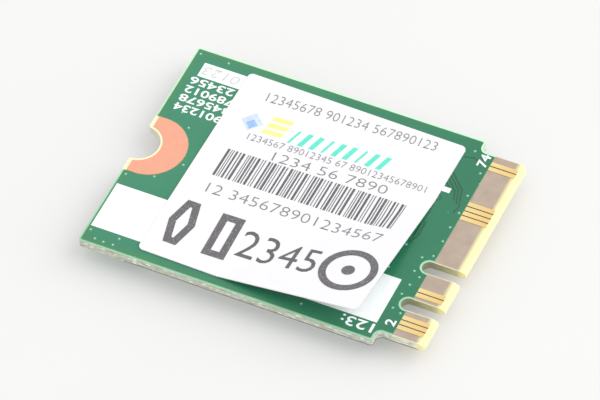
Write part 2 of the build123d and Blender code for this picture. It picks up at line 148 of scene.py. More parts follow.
# %% Helpers for colour and nodes
def screen_colour(red, green, blue):
    """Linear colour from the three values that a screen shows."""
    shares = [value / 255 for value in (red, green, blue)]
    linear = [share / 12.92 if share <= 0.04045 else ((share + 0.055) / 1.055) ** 2.4 for share in shares]
    return (*linear, 1.0)


def connect(tree, source, socket):
    """Links a socket into an input, or types a value into it; a colour has the values of a screen."""
    if isinstance(source, bpy.types.NodeSocket):
        tree.links.new(source, socket)
    else:
        socket.default_value = screen_colour(*source) if socket.type == "RGBA" else source


def add_node(tree, kind, links=None, **settings):
    """Adds a node, sets its properties and fills its inputs."""
    node = tree.nodes.new(kind)
    for name, value in settings.items():
        setattr(node, name, value)
    for name, source in (links or {}).items():
        connect(tree, source, node.inputs[name])
    return node


def calculate(tree, operation, first, second=0.0, third=0.0, clamp=False):
    """One Math node; gives its output."""
    links = {0: first, 1: second, 2: third}
    return add_node(tree, "ShaderNodeMath", links, operation=operation, use_clamp=clamp).outputs[0]


def blend(tree, share, first, second):
    """Mixes two colours by a share; gives the mixed colour."""
    node = add_node(tree, "ShaderNodeMix", data_type="RGBA")
    sockets = {socket.name: socket for socket in node.inputs if socket.enabled}
    for name, source in (("Factor", share), ("A", first), ("B", second)):
        connect(tree, source, sockets[name])
    return next(socket for socket in node.outputs if socket.enabled)


print("mid grey on a screen is", round(screen_colour(128, 128, 128)[0], 3), "in linear light")

# %% [markdown]
# ## Effects that several finishes share
#
# Nothing real has one flat colour. Four small effects give each finish its life: an uneven tone, a fine
# relief, scattered specks and a mask for corners. Each is a node group, so that every material can use it at
# its own scale.

# %% Start a node group
VECTOR, FLOAT, COLOUR = "NodeSocketVector", "NodeSocketFloat", "NodeSocketColor"


def new_group(name, inputs, outputs):
    """A node group with these sockets; gives its tree and the sockets of its two end nodes."""
    tree = bpy.data.node_groups.new(name, "ShaderNodeTree")
    for label, (kind, value) in inputs.items():
        socket = tree.interface.new_socket(label, in_out="INPUT", socket_type=kind)
        if value is not None:
            socket.default_value = value
    for label, kind in outputs.items():
        tree.interface.new_socket(label, in_out="OUTPUT", socket_type=kind)
    return tree, tree.nodes.new("NodeGroupInput").outputs, tree.nodes.new("NodeGroupOutput").inputs


def add_group(tree, group, links):
    """Places a node group in a tree and fills its inputs."""
    return add_node(tree, "ShaderNodeGroup", links, node_tree=group)


print("kinds of socket", VECTOR, FLOAT, COLOUR)

# %% [markdown]
# ## Uneven tone and fine relief
#
# Uneven tone lets a colour drift a little lighter and darker, as every paint, paper or metal does. It
# multiplies the colour by a broad noise whose swing is set by Depth. Fine relief is a low bump for lacquer,
# paper or metal. Both take their coordinates from outside, so a material can stretch them.

# %% Groups for tone and relief
uneven_tone, given, made = new_group(
    "uneven tone",
    {
        "Color": (COLOUR, (0.5, 0.5, 0.5, 1.0)), "Vector": (VECTOR, None),
        "Scale": (FLOAT, 500.0), "Depth": (FLOAT, 0.1),
    },
    {"Color": COLOUR, "Value": FLOAT},
)
broad_links = {"Vector": given["Vector"], "Scale": given["Scale"], "Detail": 4.0}
broad = add_node(uneven_tone, "ShaderNodeTexNoise", broad_links)
centred = calculate(uneven_tone, "SUBTRACT", broad.outputs["Fac"], 0.5)
swing = calculate(uneven_tone, "MULTIPLY_ADD", centred, given["Depth"], 0.5)
brightness = calculate(uneven_tone, "MULTIPLY", swing, 2.0)
toned_links = {0: given["Color"], "Scale": brightness}
toned = add_node(uneven_tone, "ShaderNodeVectorMath", toned_links, operation="SCALE")
uneven_tone.links.new(toned.outputs[0], made["Color"])
uneven_tone.links.new(broad.outputs["Fac"], made["Value"])

fine_relief, given, made = new_group(
    "fine relief",
    {
        "Vector": (VECTOR, None), "Scale": (FLOAT, 5000.0),
        "Strength": (FLOAT, 0.2), "Depth": (FLOAT, 0.01 * MM),
    },
    {"Normal": VECTOR},
)
grain_links = {"Vector": given["Vector"], "Scale": given["Scale"], "Detail": 3.0}
grain = add_node(fine_relief, "ShaderNodeTexNoise", grain_links)
bump = add_node(fine_relief, "ShaderNodeBump", {
    "Strength": given["Strength"], "Distance": given["Depth"], "Height": grain.outputs["Fac"],
})
fine_relief.links.new(bump.outputs["Normal"], made["Normal"])
print("groups", uneven_tone.name, "and", fine_relief.name)

# %% [markdown]
# ## Specks and corners
#
# Specks are small dots, for dust, pinholes in print and flecks in glass fibre. A Voronoi texture has one
# point in each cell, and only the cells whose random colour is low enough get a dot. The corner mask compares
# the true normal with one that is rounded off near edges: where they differ, a corner is close. It places the
# painted highlights along the board's and the lacquer's corners, and the bright worn line on metal.

# %% Groups for specks and corners
specks, given, made = new_group(
    "specks",
    {"Vector": (VECTOR, None), "Scale": (FLOAT, 2000.0), "Size": (FLOAT, 0.2), "Share": (FLOAT, 0.2)},
    {"Mask": FLOAT},
)
cell_links = {"Vector": given["Vector"], "Scale": given["Scale"]}
cells = add_node(specks, "ShaderNodeTexVoronoi", cell_links)
near_middle = calculate(specks, "LESS_THAN", cells.outputs["Distance"], given["Size"])
channels = add_node(specks, "ShaderNodeSeparateColor", {"Color": cells.outputs["Color"]})
chosen = calculate(specks, "LESS_THAN", channels.outputs["Red"], given["Share"])
specks.links.new(calculate(specks, "MULTIPLY", near_middle, chosen), made["Mask"])

edge_mask, given, made = new_group(
    "edge mask", {"Radius": (FLOAT, 0.1 * MM), "Gain": (FLOAT, 6.0)}, {"Mask": FLOAT},
)
rounded = add_node(edge_mask, "ShaderNodeBevel", {"Radius": given["Radius"]}, samples=6)
facing = add_node(edge_mask, "ShaderNodeNewGeometry")
normals = {0: rounded.outputs["Normal"], 1: facing.outputs["Normal"]}
agreement = add_node(edge_mask, "ShaderNodeVectorMath", normals, operation="DOT_PRODUCT")
departure = calculate(edge_mask, "SUBTRACT", 1.0, agreement.outputs["Value"])
near_edge = calculate(edge_mask, "MULTIPLY", departure, given["Gain"], clamp=True)
edge_mask.links.new(near_edge, made["Mask"])
print("node groups", [group.name for group in bpy.data.node_groups])

# %% [markdown]
# ## Helpers for materials
#
# Each material starts the same way: what is constant is set on the shader itself, and the texture
# coordinates are the object's own, so a pattern stays in place when the card is moved. Short helpers then add
# the four effects, and the last one joins the finished colour and relief to the shader.

# %% Helpers for materials
def start_material(name, roughness, metallic=0.0, coat=0.0, coat_roughness=0.2):
    """A new material; gives it, its tree and its coordinates."""
    material = bpy.data.materials.new(name)
    material.use_nodes = True
    tree = material.node_tree
    inputs = tree.nodes["Principled BSDF"].inputs
    inputs["Roughness"].default_value = roughness
    inputs["Metallic"].default_value = metallic
    inputs["Coat Weight"].default_value = coat
    inputs["Coat Roughness"].default_value = coat_roughness
    return material, tree, tree.nodes.new("ShaderNodeTexCoord").outputs["Object"]


def add_tone(tree, colour, place, scale, depth):
    """A colour that drifts lighter and darker; gives it."""
    links = {"Color": colour, "Vector": place, "Scale": scale, "Depth": depth}
    return add_group(tree, uneven_tone, links).outputs["Color"]


def add_specks(tree, colour, place, scale, size, share, speck):
    """A colour with specks of another on it; gives it."""
    links = {"Vector": place, "Scale": scale, "Size": size, "Share": share}
    return blend(tree, add_group(tree, specks, links).outputs["Mask"], colour, speck)


def add_corner_mask(tree, radius, gain):
    """The mask that is 1 at a corner and falls to 0 within the radius."""
    return add_group(tree, edge_mask, {"Radius": radius, "Gain": gain}).outputs["Mask"]


def finish_material(material, colour, place, scale, strength, depth=0.01 * MM):
    """Joins the colour and a fine relief to the shader; gives the material."""
    tree = material.node_tree
    inputs = tree.nodes["Principled BSDF"].inputs
    links = {"Vector": place, "Scale": scale, "Strength": strength, "Depth": depth}
    relief = add_group(tree, fine_relief, links)
    tree.links.new(colour, inputs["Base Color"])
    tree.links.new(relief.outputs["Normal"], inputs["Normal"])
    return material


print("helpers for materials are ready")

# %% [markdown]
# ## The floor
#
# The floor is a plain white sheet, much larger than the picture. It gives off some light of its own, as a
# sheet lit from below does, which keeps shadows pale. A trace of unevenness keeps it from looking computed.
# The sheet lies a hair under the shield, because two faces in one plane would flicker through each other.

# %% Lay the floor
floor_half_width = 1500 * MM
floor_glow = 0.26
floor_drop = Matrix.Translation((0, 0, -0.02 * MM))


def make_object(name, shape, finish):
    """Turns a bmesh into an object with one finish; gives it."""
    mesh = bpy.data.meshes.new(name)
    shape.to_mesh(mesh)
    shape.free()
    mesh.materials.append(finish)
    return add_object(name, mesh)


floor_material, tree, place = start_material("white sheet", roughness=0.55)
inputs = tree.nodes["Principled BSDF"].inputs
inputs["Emission Color"].default_value = (1.0, 1.0, 1.0, 1.0)
inputs["Emission Strength"].default_value = floor_glow
floor_tone = add_tone(tree, (198, 198, 197), place, scale=60, depth=0.02)
tree.links.new(floor_tone, inputs["Base Color"])

floor_shape = bmesh.new()
bmesh.ops.create_grid(floor_shape, x_segments=1, y_segments=1, size=floor_half_width, matrix=floor_drop)
floor = make_object("floor", floor_shape, floor_material)
floor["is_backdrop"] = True
print("floor", 2 * floor_half_width, "m wide")

# %% [markdown]
# ## Where things are on the board
#
# The bare board shows in several places, and each has its own look: the tongue at the contact end, its
# bevelled tip, the rim round the screw notch, the sawn sides and the rim along the lacquer. One material
# serves the whole board, so it first asks where a point is. Most answers are 0 or 1, and one of them marks
# the painted shade line along the foot of the sawn side. Three are shares that grow along the board and place
# painted light: the tip's painted glow, the painted shade and highlight along the slots, and the painted
# highlight toward the side that faces the lamp.

# %% Masks for the parts of the board
board_low, board_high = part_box("circuit_board")
mask_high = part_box("solder_mask_label_side")[1]
notch_rim_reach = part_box("ground_pad_label_side")[1].y
# Where the tip's painted glow starts and ends.
glow_start, glow_end = 14.2 * MM, 14.58 * MM
slot_start, slot_side_reach = 11.3 * MM, 9.5 * MM
# Height and start of the painted shade line at the foot of the sawn side.
gap_shade_height, gap_shade_start = 0.09 * MM, -11.0 * MM
side_slope_limit = 0.3


def split(tree, vector):
    """The outputs X, Y and Z of a vector."""
    return add_node(tree, "ShaderNodeSeparateXYZ", {"Vector": vector}).outputs


def grow(tree, value, start, end):
    """A share that grows from 0 to 1 between two places."""
    return calculate(tree, "MULTIPLY_ADD", value, 1 / (end - start), -start / (end - start), clamp=True)


def board_masks(tree, place):
    """Masks that say where on the board a point is."""
    x, y, z = split(tree, place)
    normal = add_node(tree, "ShaderNodeNewGeometry").outputs["Normal"]
    slope = calculate(tree, "ABSOLUTE", split(tree, normal)["Z"])
    notch_middle = (board_low.x, 0, board_high.z)
    distance = add_node(tree, "ShaderNodeVectorMath", {0: place, 1: notch_middle}, operation="DISTANCE")
    is_low = calculate(tree, "LESS_THAN", z, board_low.z + gap_shade_height)
    past_start = calculate(tree, "GREATER_THAN", x, gap_shade_start)
    inside = calculate(tree, "LESS_THAN", calculate(tree, "ABSOLUTE", y), slot_side_reach)
    return {
        "side": calculate(tree, "LESS_THAN", slope, side_slope_limit),
        "tongue": calculate(tree, "GREATER_THAN", x, mask_high.x),
        "glow": grow(tree, x, glow_start, glow_end),
        "notch": calculate(tree, "LESS_THAN", distance.outputs["Value"], notch_rim_reach),
        "upper half": calculate(tree, "GREATER_THAN", z, (board_low.z + board_high.z) / 2),
        "gap shade line": calculate(tree, "MULTIPLY", is_low, past_start),
        "slot": calculate(tree, "MULTIPLY", calculate(tree, "GREATER_THAN", x, slot_start), inside),
        "tip highlight share": grow(tree, x, slot_start, board_high.x),
        "far side": grow(tree, y, -board_high.y, board_high.y),
    }


print("board", [round(v / MM, 2) for v in board_low], "to", [round(v / MM, 2) for v in board_high])

# %% [markdown]
# ## The board's bare laminate
#
# The board is glass cloth in resin. At the contact end its bare surface is a greyish pink beige, and its
# bevelled tip is a bright yellowish cream: a painted glow of light on the bare laminate. The sawn side is
# rough: glass fibres stand out as pale flecks in a grey-green resin, and it turns paler toward the tip, a
# painted highlight. A dark line along its lowest layer is painted shade, where the gap under the board lies
# in shadow. The milled slots are smoother and olive inside, darker away from the tip and paler toward it:
# painted shade in the slots and a painted highlight toward the tip. The round notch is pale. The corner along
# the lacquer gets a painted highlight, stronger on the far side, which faces the lamp. Faces and walls are
# mixed first, and the corner's painted highlight goes on last.

# %% Finish of the laminate
corner_highlight_width = 0.16 * MM
wall_stretch = (0.6, 0.6, 2.2)

board_material, tree, place = start_material("laminate", roughness=0.62)
masks = board_masks(tree, place)
cloth = add_tone(tree, (178, 160, 144), place, scale=900, depth=0.2)
# Painted highlight: the bevelled tip's bare laminate is painted as a bright cream glow.
painted_tip_glow = add_tone(tree, (252, 242, 174), place, scale=1200, depth=0.1)
# Painted highlight: the laminate's green rim is paler toward the far side, which faces the lamp.
rim_green_with_highlight = blend(tree, masks["far side"], (160, 205, 172), (206, 246, 206))
rim = add_tone(tree, rim_green_with_highlight, place, scale=1500, depth=0.25)
face = blend(tree, masks["notch"], rim, (250, 240, 200))
face = blend(tree, masks["tongue"], face, cloth)
face = blend(tree, masks["glow"], face, painted_tip_glow)

drawn = add_node(tree, "ShaderNodeMapping", {"Vector": place, "Scale": wall_stretch}).outputs["Vector"]
# Painted highlight: the sawn side turns paler toward the glowing tip.
sawn_tone_with_tip_highlight = blend(tree, masks["tip highlight share"], (194, 199, 181), (232, 230, 204))
sawn = add_tone(tree, sawn_tone_with_tip_highlight, drawn, scale=2400, depth=0.8)
sawn = add_specks(tree, sawn, drawn, scale=3000, size=0.4, share=0.35, speck=(244, 248, 238))
# Painted shade: a dark line at the foot of the sawn side, where the gap under the board lies in shadow.
sawn = blend(tree, masks["gap shade line"], sawn, (112, 104, 92))
# Painted shade and highlight: the slot walls are darker away from the tip and paler toward it.
milled_tone_with_shade_and_highlight = blend(tree, masks["tip highlight share"], (136, 140, 116), (216, 212, 160))
milled = add_tone(tree, milled_tone_with_shade_and_highlight, drawn, scale=2400, depth=0.3)
wall = blend(tree, masks["slot"], sawn, milled)
wall = blend(tree, masks["notch"], wall, (226, 224, 206))
wall = blend(tree, masks["glow"], wall, painted_tip_glow)
body = blend(tree, masks["side"], face, wall)

# Painted highlight: a pale line along the board's upper corners, paler on the side that faces the lamp and
# cream on bare laminate.
corner = add_corner_mask(tree, corner_highlight_width, gain=9.0)
corner = calculate(tree, "MULTIPLY", corner, masks["upper half"])
highlight_green = blend(tree, masks["far side"], (158, 206, 174), (186, 244, 200))
is_bare = calculate(tree, "MAXIMUM", masks["tongue"], masks["notch"])
line = blend(tree, is_bare, highlight_green, (250, 248, 206))
body = blend(tree, corner, body, line)
laminate = finish_material(board_material, body, drawn, scale=5000, strength=0.5, depth=0.03 * MM)
print(laminate.name, "is made of", len(tree.nodes), "nodes")

# %% [markdown]
# ## The green lacquer
#
# Solder mask is a thin, slightly glossy green lacquer, so it gets a light clear coat. Where copper lies under
# it the green is clear and cool, and it is deeper toward the contacts, where the tracks are dense. Along the
# board's edge the copper stops short, and the green turns warmer. A wide, low drift in tone stands for the
# varying thickness and a few pale specks for dust. A lighter line along the lacquer's edges is a painted
# highlight, where its side would catch the light.

# %% Finish of the lacquer
copper_to_edge = 0.55 * MM
rim_highlight_width = 0.06 * MM


def lacquer_finish(name, over_copper, over_resin, by_contacts, rim_highlight_colour):
    """Green lacquer; the four colours are for copper, bare resin, the contact end and the painted rim
    highlight.
    """
    material, tree, place = start_material(name, roughness=0.34, coat=0.25, coat_roughness=0.18)
    x, y = split(tree, place)[:2]
    across = calculate(tree, "ABSOLUTE", y)
    past_side = calculate(tree, "GREATER_THAN", across, board_high.y - copper_to_edge)
    past_end = calculate(tree, "LESS_THAN", x, board_low.x + copper_to_edge)
    no_copper = calculate(tree, "MAXIMUM", past_side, past_end)
    green = blend(tree, no_copper, over_copper, over_resin)
    toward_contacts = grow(tree, x, -mask_high.x, mask_high.x)
    green = blend(tree, toward_contacts, green, by_contacts)
    green = add_tone(tree, green, place, scale=260, depth=0.12)
    green = add_specks(tree, green, place, scale=900, size=0.06, share=0.12, speck=(200, 214, 200))
    # Painted highlight: a lighter line along the lacquer's edges.
    rim = add_corner_mask(tree, rim_highlight_width, gain=3.0)
    green = blend(tree, rim, green, rim_highlight_colour)
    return finish_material(material, green, place, scale=5200, strength=0.12)


lacquer = lacquer_finish("green mask", (52, 133, 99), (64, 132, 90), (34, 117, 83), (132, 206, 166))
deep_green = (30, 92, 66)
dark_lacquer = lacquer_finish("dark mask", deep_green, deep_green, deep_green, deep_green)
print("made", lacquer.name, "and", dark_lacquer.name)

# %% [markdown]
# ## One recipe for all metals
#
# The metals on the card differ only in colour, in roughness and in the way their fine scratches run, so one
# function makes them all. Scratches come from a noise that is drawn out along one direction. The gold deepens
# toward the contacts' tip, where a socket's springs press it, so a second colour may be given for that end.

# %% Recipe for metals
worn_line_width = 0.05 * MM
contact_low, contact_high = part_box("contact_fingers_label_side")
contact_length = contact_high.x - contact_low.x


def metal_finish(name, colour, roughness, grain=(1, 1, 1), scale=3000, depth=0.15, metallic=1.0,
                 worn=None, tip_colour=None):
    """Metal with fine unevenness, drawn out by grain; worn is the colour of a bright line on its corners."""
    material, tree, place = start_material(name, roughness, metallic)
    drawn = add_node(tree, "ShaderNodeMapping", {"Vector": place, "Scale": grain}).outputs["Vector"]
    if tip_colour:
        toward_tip = grow(tree, split(tree, place)["X"], contact_low.x, contact_high.x)
        colour = blend(tree, toward_tip, colour, tip_colour)
    tone = add_group(tree, uneven_tone, {"Color": colour, "Vector": drawn, "Scale": scale, "Depth": depth})
    base = tone.outputs["Color"]
    if worn:
        worn_line = add_corner_mask(tree, worn_line_width, gain=4.0)
        base = blend(tree, worn_line, base, worn)
    rough = calculate(tree, "MULTIPLY_ADD", tone.outputs["Value"], depth, roughness - depth / 2)
    tree.links.new(rough, tree.nodes["Principled BSDF"].inputs["Roughness"])
    return finish_material(material, base, drawn, scale=2 * scale, strength=0.15)


print("contacts are", round(contact_length / MM, 2), "mm long")

# %% [markdown]
# ## Copper, gold and solder
#
# The pad round the screw notch is bare copper under a clear film: a matt salmon pink that only partly acts as
# metal. The contacts are hard gold over nickel: bright, with fine scratches along the way they slide. The
# shield is rolled sheet with its grain along the board. The solder line and the small parts' ends are dull
# tin.

# %% Finish of the metals
copper = metal_finish("bare copper", (246, 176, 148), roughness=0.5, scale=1400, depth=0.06, metallic=0.55)
contact_gold = metal_finish(
    "contact gold", (249, 225, 158), roughness=0.24, grain=(0.1, 1, 1), scale=3400, depth=0.1,
    metallic=0.6, worn=(255, 246, 204), tip_colour=(246, 208, 136),
)
connector_gold = metal_finish(
    "connector gold", (236, 200, 128), roughness=0.3, scale=5200, depth=0.12, worn=(250, 226, 168),
)
shield_metal = metal_finish(
    "shield metal", (196, 192, 184), roughness=0.34, grain=(0.06, 1, 1), scale=7000, depth=0.14,
    worn=(226, 222, 212),
)
solder_line = metal_finish("tinned track", (206, 204, 198), roughness=0.4, depth=0.2)
tin = metal_finish("lead tin", (206, 206, 202), roughness=0.36, scale=5000, depth=0.12)
crystal_cap = metal_finish("crystal cap", (226, 214, 178), roughness=0.3, scale=4000)
print("materials so far", len(bpy.data.materials))

# %% [markdown]
# ## Paper, ink and small parts
#
# The label is coated paper: very white, with a grain that only shows at a low angle. White legend ink is a
# little cooler. Ink, resin and fired ceramic share a recipe: a colour, a fine grain and pale specks, which
# are pinholes in ink and dust on the parts.

# %% Finish of paper, ink and small parts
speck_scale, speck_size = 12000, 0.3


def grained_finish(name, colour, roughness=0.5, scale=6000, depth=0.2, speck=(190, 190, 186), share=0.06):
    """Opaque ceramic, resin or ink with a fine grain; speck and share are for its pale specks."""
    material, tree, place = start_material(name, roughness)
    base = add_tone(tree, colour, place, scale, depth)
    base = add_specks(tree, base, place, speck_scale, speck_size, share, speck)
    return finish_material(material, base, place, scale, strength=0.2)


paper, tree, place = start_material("label paper", roughness=0.5)
paper_white = add_tone(tree, (238, 237, 239), place, scale=1500, depth=0.03)
finish_material(paper, paper_white, place, scale=9000, strength=0.12, depth=0.006 * MM)
legend_white = grained_finish(
    "white ink", (246, 250, 250), roughness=0.45, scale=1800, depth=0.06, speck=(214, 222, 220), share=0.05,
)
resin = grained_finish(
    "package resin", (40, 40, 43), roughness=0.55, scale=9000, depth=0.3, speck=(82, 82, 84),
)
connector_resin = grained_finish("connector resin", (226, 220, 200), depth=0.08)
print("made", [finish.name for finish in (paper, legend_white, resin, connector_resin)])

# %% [markdown]
# ## Every solid part gets its finish
#
# The CAD model gives each part an empty material slot. A table says which finish belongs to a part, by the
# way its name starts. The small chips, leads and sockets follow a second table, by the way their name ends.
# The first row that fits a name counts.

# %% Give every solid part its finish
finish_by_start = {
    "circuit_board": laminate,
    "solder_mask": lacquer,
    "ground_pad": copper,
    "contact_fingers": contact_gold,
    "white_ink_fields": legend_white,
    "paper_label": paper,
    "shield_track": solder_line,
    "shield_": shield_metal,
    "capacitor_bodies": grained_finish("capacitor ceramic", (150, 116, 78)),
    "diplexer_bodies": grained_finish("filter ceramic", (222, 222, 212), depth=0.08),
    "filter_bodies": grained_finish("band filter ceramic", (214, 216, 210), depth=0.08),
    "crystal_base": grained_finish("crystal ceramic", (60, 54, 52)),
    "crystal_lid": crystal_cap,
    "power_coil_body": grained_finish("coil ferrite", (64, 64, 66), roughness=0.65, depth=0.35),
    "matching_coil_bodies": grained_finish("matching ceramic", (96, 122, 156)),
    "resistor_bodies": grained_finish("resistor film", (34, 34, 38), roughness=0.35),
}
finish_by_end = {
    ("_terminals", "_leads"): tin,
    ("_chip", "_main", "_second", "_regulator"): resin,
    ("_shell", "_pin"): connector_gold,
    "_insulator": connector_resin,
}


def finish_of(node):
    """The finish of a part: by how its name starts, or else by how it ends."""
    by_start = [finish for text, finish in finish_by_start.items() if node.startswith(text)]
    by_end = [finish for text, finish in finish_by_end.items() if node.endswith(text)]
    return (by_start + by_end)[0]


for node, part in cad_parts.items():
    for material_slot in part.material_slots:
        material_slot.material = finish_of(node)
print("finished parts", len(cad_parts))

# %% [markdown]
# ## Pieces made of ink and lacquer
#
# Print is a very thin solid on the surface that carries it. Each kind of print is one bmesh that grows shape
# by shape and becomes a piece at the end. The piece then rides on the card, and its slot holds one of the
# finishes made above.

# %% Helpers for a piece and its shapes
ink_rise = 0.02 * MM


def make_piece(name, shape, finish):
    """Turns a bmesh into a piece of the object that rides on the card."""
    bmesh.ops.recalc_face_normals(shape, faces=shape.faces)
    piece = make_object(name, shape, finish)
    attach(piece, "root")
    print(name, "faces", len(piece.data.polygons))


def settle(shape, verts, middle, turn=0.0, lean=0.0):
    """Slants new points by lean, turns them by degrees about their middle and moves them to a place."""
    slant = Matrix.Identity(4)
    slant[0][1] = lean
    bmesh.ops.transform(shape, matrix=slant, verts=verts)
    bmesh.ops.rotate(shape, matrix=Matrix.Rotation(math.radians(turn), 3, "Z"), verts=verts)
    bmesh.ops.translate(shape, vec=(*middle, 0), verts=verts)


def raise_to(shape, height):
    """Lifts a whole shape to a height."""
    bmesh.ops.translate(shape, vec=(0, 0, height), verts=shape.verts)


print("ink stands", ink_rise / MM, "mm high")

# %% [markdown]
# ## Bars, rings and polygons
#
# A bar starts as a cube. A ring and a polygon's outline start as a filled circle, with few corners for a
# polygon. An inset leaves a band of even width, the middle is taken out, and the band is raised.

# %% Helpers for bars and rings
def add_bar(shape, middle, length, width, turn=0.0, lean=0.0, rise=ink_rise):
    """A flat bar that stands on height zero."""
    made = bmesh.ops.create_cube(shape, size=1.0)["verts"]
    bmesh.ops.scale(shape, vec=(length, width, rise), verts=made)
    bmesh.ops.translate(shape, vec=(0, 0, rise / 2), verts=made)
    settle(shape, made, middle, turn, lean)


def add_ring(shape, middle, reach, wall=0, sides=72, first_turn=0.0, turn=0.0, rise=ink_rise):
    """A flat ring or polygon's outline; reach is half its length and half its width. No wall: it is full."""
    before = set(shape.verts)
    disc = bmesh.ops.create_circle(shape, cap_ends=True, radius=1.0, segments=sides)["verts"]
    faces = list({face for vert in disc for face in vert.link_faces})
    bmesh.ops.rotate(shape, matrix=Matrix.Rotation(math.radians(first_turn), 3, "Z"), verts=disc)
    corner_reach = [max(vert.co[axis] for vert in disc) for axis in (0, 1)]
    bmesh.ops.scale(shape, vec=(reach[0] / corner_reach[0], reach[1] / corner_reach[1], 1.0), verts=disc)
    if wall:
        band = bmesh.ops.inset_region(
            shape, faces=faces, thickness=wall, use_even_offset=True, use_boundary=True,
        )
        bmesh.ops.delete(shape, geom=faces, context="FACES_ONLY")
        faces = band["faces"]
    raised = bmesh.ops.extrude_face_region(shape, geom=faces, use_keep_orig=True)["geom"]
    top = [item for item in raised if isinstance(item, bmesh.types.BMVert)]
    bmesh.ops.translate(shape, vec=(0, 0, rise), verts=top)
    settle(shape, [vert for vert in shape.verts if vert not in before], middle, turn)


print("helpers for bars and rings are ready")

# %% [markdown]
# ## Digits
#
# Digits come from a text curve, which Blender fills and thickens by itself. The text is made into a mesh at
# once and scaled to the box that the row fills. Weight moves the outline out or in, so that one font gives
# both bold and thin print.

# %% Helpers for curves and digits
weld_distance = 0.0001 * MM


def add_curve(shape, curve):
    """Adds a curve or text to a bmesh and throws the curve away; gives the new points."""
    before = set(shape.verts)
    carrier = add_object("carrier", curve)
    bpy.context.view_layer.update()
    graph = bpy.context.evaluated_depsgraph_get()
    mesh = bpy.data.meshes.new_from_object(carrier.evaluated_get(graph))
    shape.from_mesh(mesh)
    bpy.data.objects.remove(carrier)
    bpy.data.curves.remove(curve)
    bpy.data.meshes.remove(mesh)
    return [vert for vert in shape.verts if vert not in before]


def add_digits(shape, digits, middle, length, height, turn, weight, lean=0.0):
    """A row of digits that fills a box of this length and height, centred on a place."""
    curve = bpy.data.curves.new("digits", "FONT")
    curve.body = digits
    curve.offset = weight
    curve.extrude = 0.5
    curve.resolution_u = 3
    made = add_curve(shape, curve)
    low = Vector([min(vert.co[axis] for vert in made) for axis in range(3)])
    high = Vector([max(vert.co[axis] for vert in made) for axis in range(3)])
    bmesh.ops.translate(shape, vec=(-(low.x + high.x) / 2, -(low.y + high.y) / 2, -low.z), verts=made)
    span = high - low
    bmesh.ops.scale(shape, vec=(length / span.x, height / span.y, ink_rise / span.z), verts=made)
    settle(shape, made, middle, turn, lean)
    bmesh.ops.remove_doubles(shape, verts=made, dist=weld_distance)


print("helpers for digits are ready")

# %% [markdown]
# ## How the label is folded
#
# The label is one flat sheet with a crease that runs diagonally across it. Beyond the crease the sheet rises
# at a small angle. All print is laid out on the flat sheet, in the sheet's own coordinates: S runs along its
# low edge from the notch side, and T runs up its side. One function then carries a point to its place on the
# folded sheet: flat up to the bend, round the bend, and straight again at the lifted angle.

# %% The fold
label_length = 19.67 * MM
label_width = 20.06 * MM
label_thickness = 0.1 * MM
label_middle = Vector((-0.185, -0.13, 0)) * MM
label_turn = math.radians(-0.95)
crease_start = Vector((7.1, 0, 0)) * MM
crease_end = Vector((19.67, 14.11, 0)) * MM
crease_lift = math.radians(12.0)
crease_radius = 1.5 * MM

ink_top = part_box("white_ink_fields")[1].z
label_top = ink_top + label_thickness
crease_line = (crease_end - crease_start).normalized()
crease_across = Vector((crease_line.y, -crease_line.x, 0))
bend_start = -crease_radius * math.tan(crease_lift / 2)
inner_radius = crease_radius - label_thickness
middle_radius = crease_radius - label_thickness / 2
bend_length = middle_radius * crease_lift


def carry_to_label(flat):
    """Where a point of the flat sheet is on the folded label; its height is a height above the sheet."""
    from_crease = Vector((flat.x, flat.y, 0)) - crease_start
    along, across = from_crease.dot(crease_line), from_crease.dot(crease_across)
    past_bend = across - bend_start
    angle = min(max(past_bend / middle_radius, 0.0), crease_lift)
    straight = past_bend - bend_length if past_bend > bend_length else min(past_bend, 0.0)
    reach = bend_start + inner_radius * math.sin(angle) + straight * math.cos(angle)
    height = inner_radius * (1 - math.cos(angle)) + max(straight, 0.0) * math.sin(angle)
    out = Vector((0, 0, math.cos(angle))) - crease_across * math.sin(angle)
    spot = crease_start + crease_line * along + crease_across * reach + Vector((0, 0, height)) + out * flat.z
    spot -= Vector((label_length / 2, label_width / 2, 0))
    return Matrix.Rotation(label_turn, 3, "Z") @ spot + label_middle + Vector((0, 0, label_top))


lifted_corner = carry_to_label(Vector((label_length, 0, 0)))
print("label top in mm", round(label_top / MM, 3), "lifted corner", round(lifted_corner.z / MM, 2))

# %% [markdown]
# ## Print that bends with the label
#
# A long flat face can't bend, because it has no points where the bend is. So the print is first cut along
# lines beside the crease, a few for the round of the bend. Cuts leave slivers, which are dissolved. Only then
# is the print carried to the folded sheet.

# %% Helper for print on the label
bend_cuts = 6
least_edge = 0.002 * MM


def make_label_print(name, shape, finish):
    """Cuts flat print along the crease, folds it with the sheet and makes it a piece."""
    for number in range(bend_cuts + 1):
        across = bend_start + bend_length * number / bend_cuts
        geometry = [*shape.verts, *shape.edges, *shape.faces]
        cut_place = crease_start + crease_across * across
        bmesh.ops.bisect_plane(shape, geom=geometry, plane_co=cut_place, plane_no=crease_across)
    bmesh.ops.dissolve_degenerate(shape, edges=shape.edges, dist=least_edge)
    for vert in shape.verts:
        vert.co = carry_to_label(vert.co)
    make_piece(name, shape, finish)


print("the bend is cut", bend_cuts + 1, "times over", round(bend_length / MM, 3), "mm")

# %% [markdown]
# ## Rows of digits
#
# The label carries four rows of small, thin grey print. Plain digits that count up stand in for what such
# rows say. The rows climb by two or three degrees, because the print sits a little crooked on the sheet.

# %% Rows of digits
def counting_digits(count, gaps):
    """Digits that count up from 1, with a blank after the places in gaps."""
    return "".join(str(place % 10) + " " * (place in gaps) for place in range(1, count + 1))


def add_rows(shape, rows):
    """Rows of digits, each with its middle, length and height in millimetres, its turn and its weight."""
    for digits, x, y, length, height, turn, weight in rows:
        add_digits(shape, digits, (x * MM, y * MM), length * MM, height * MM, turn, weight)


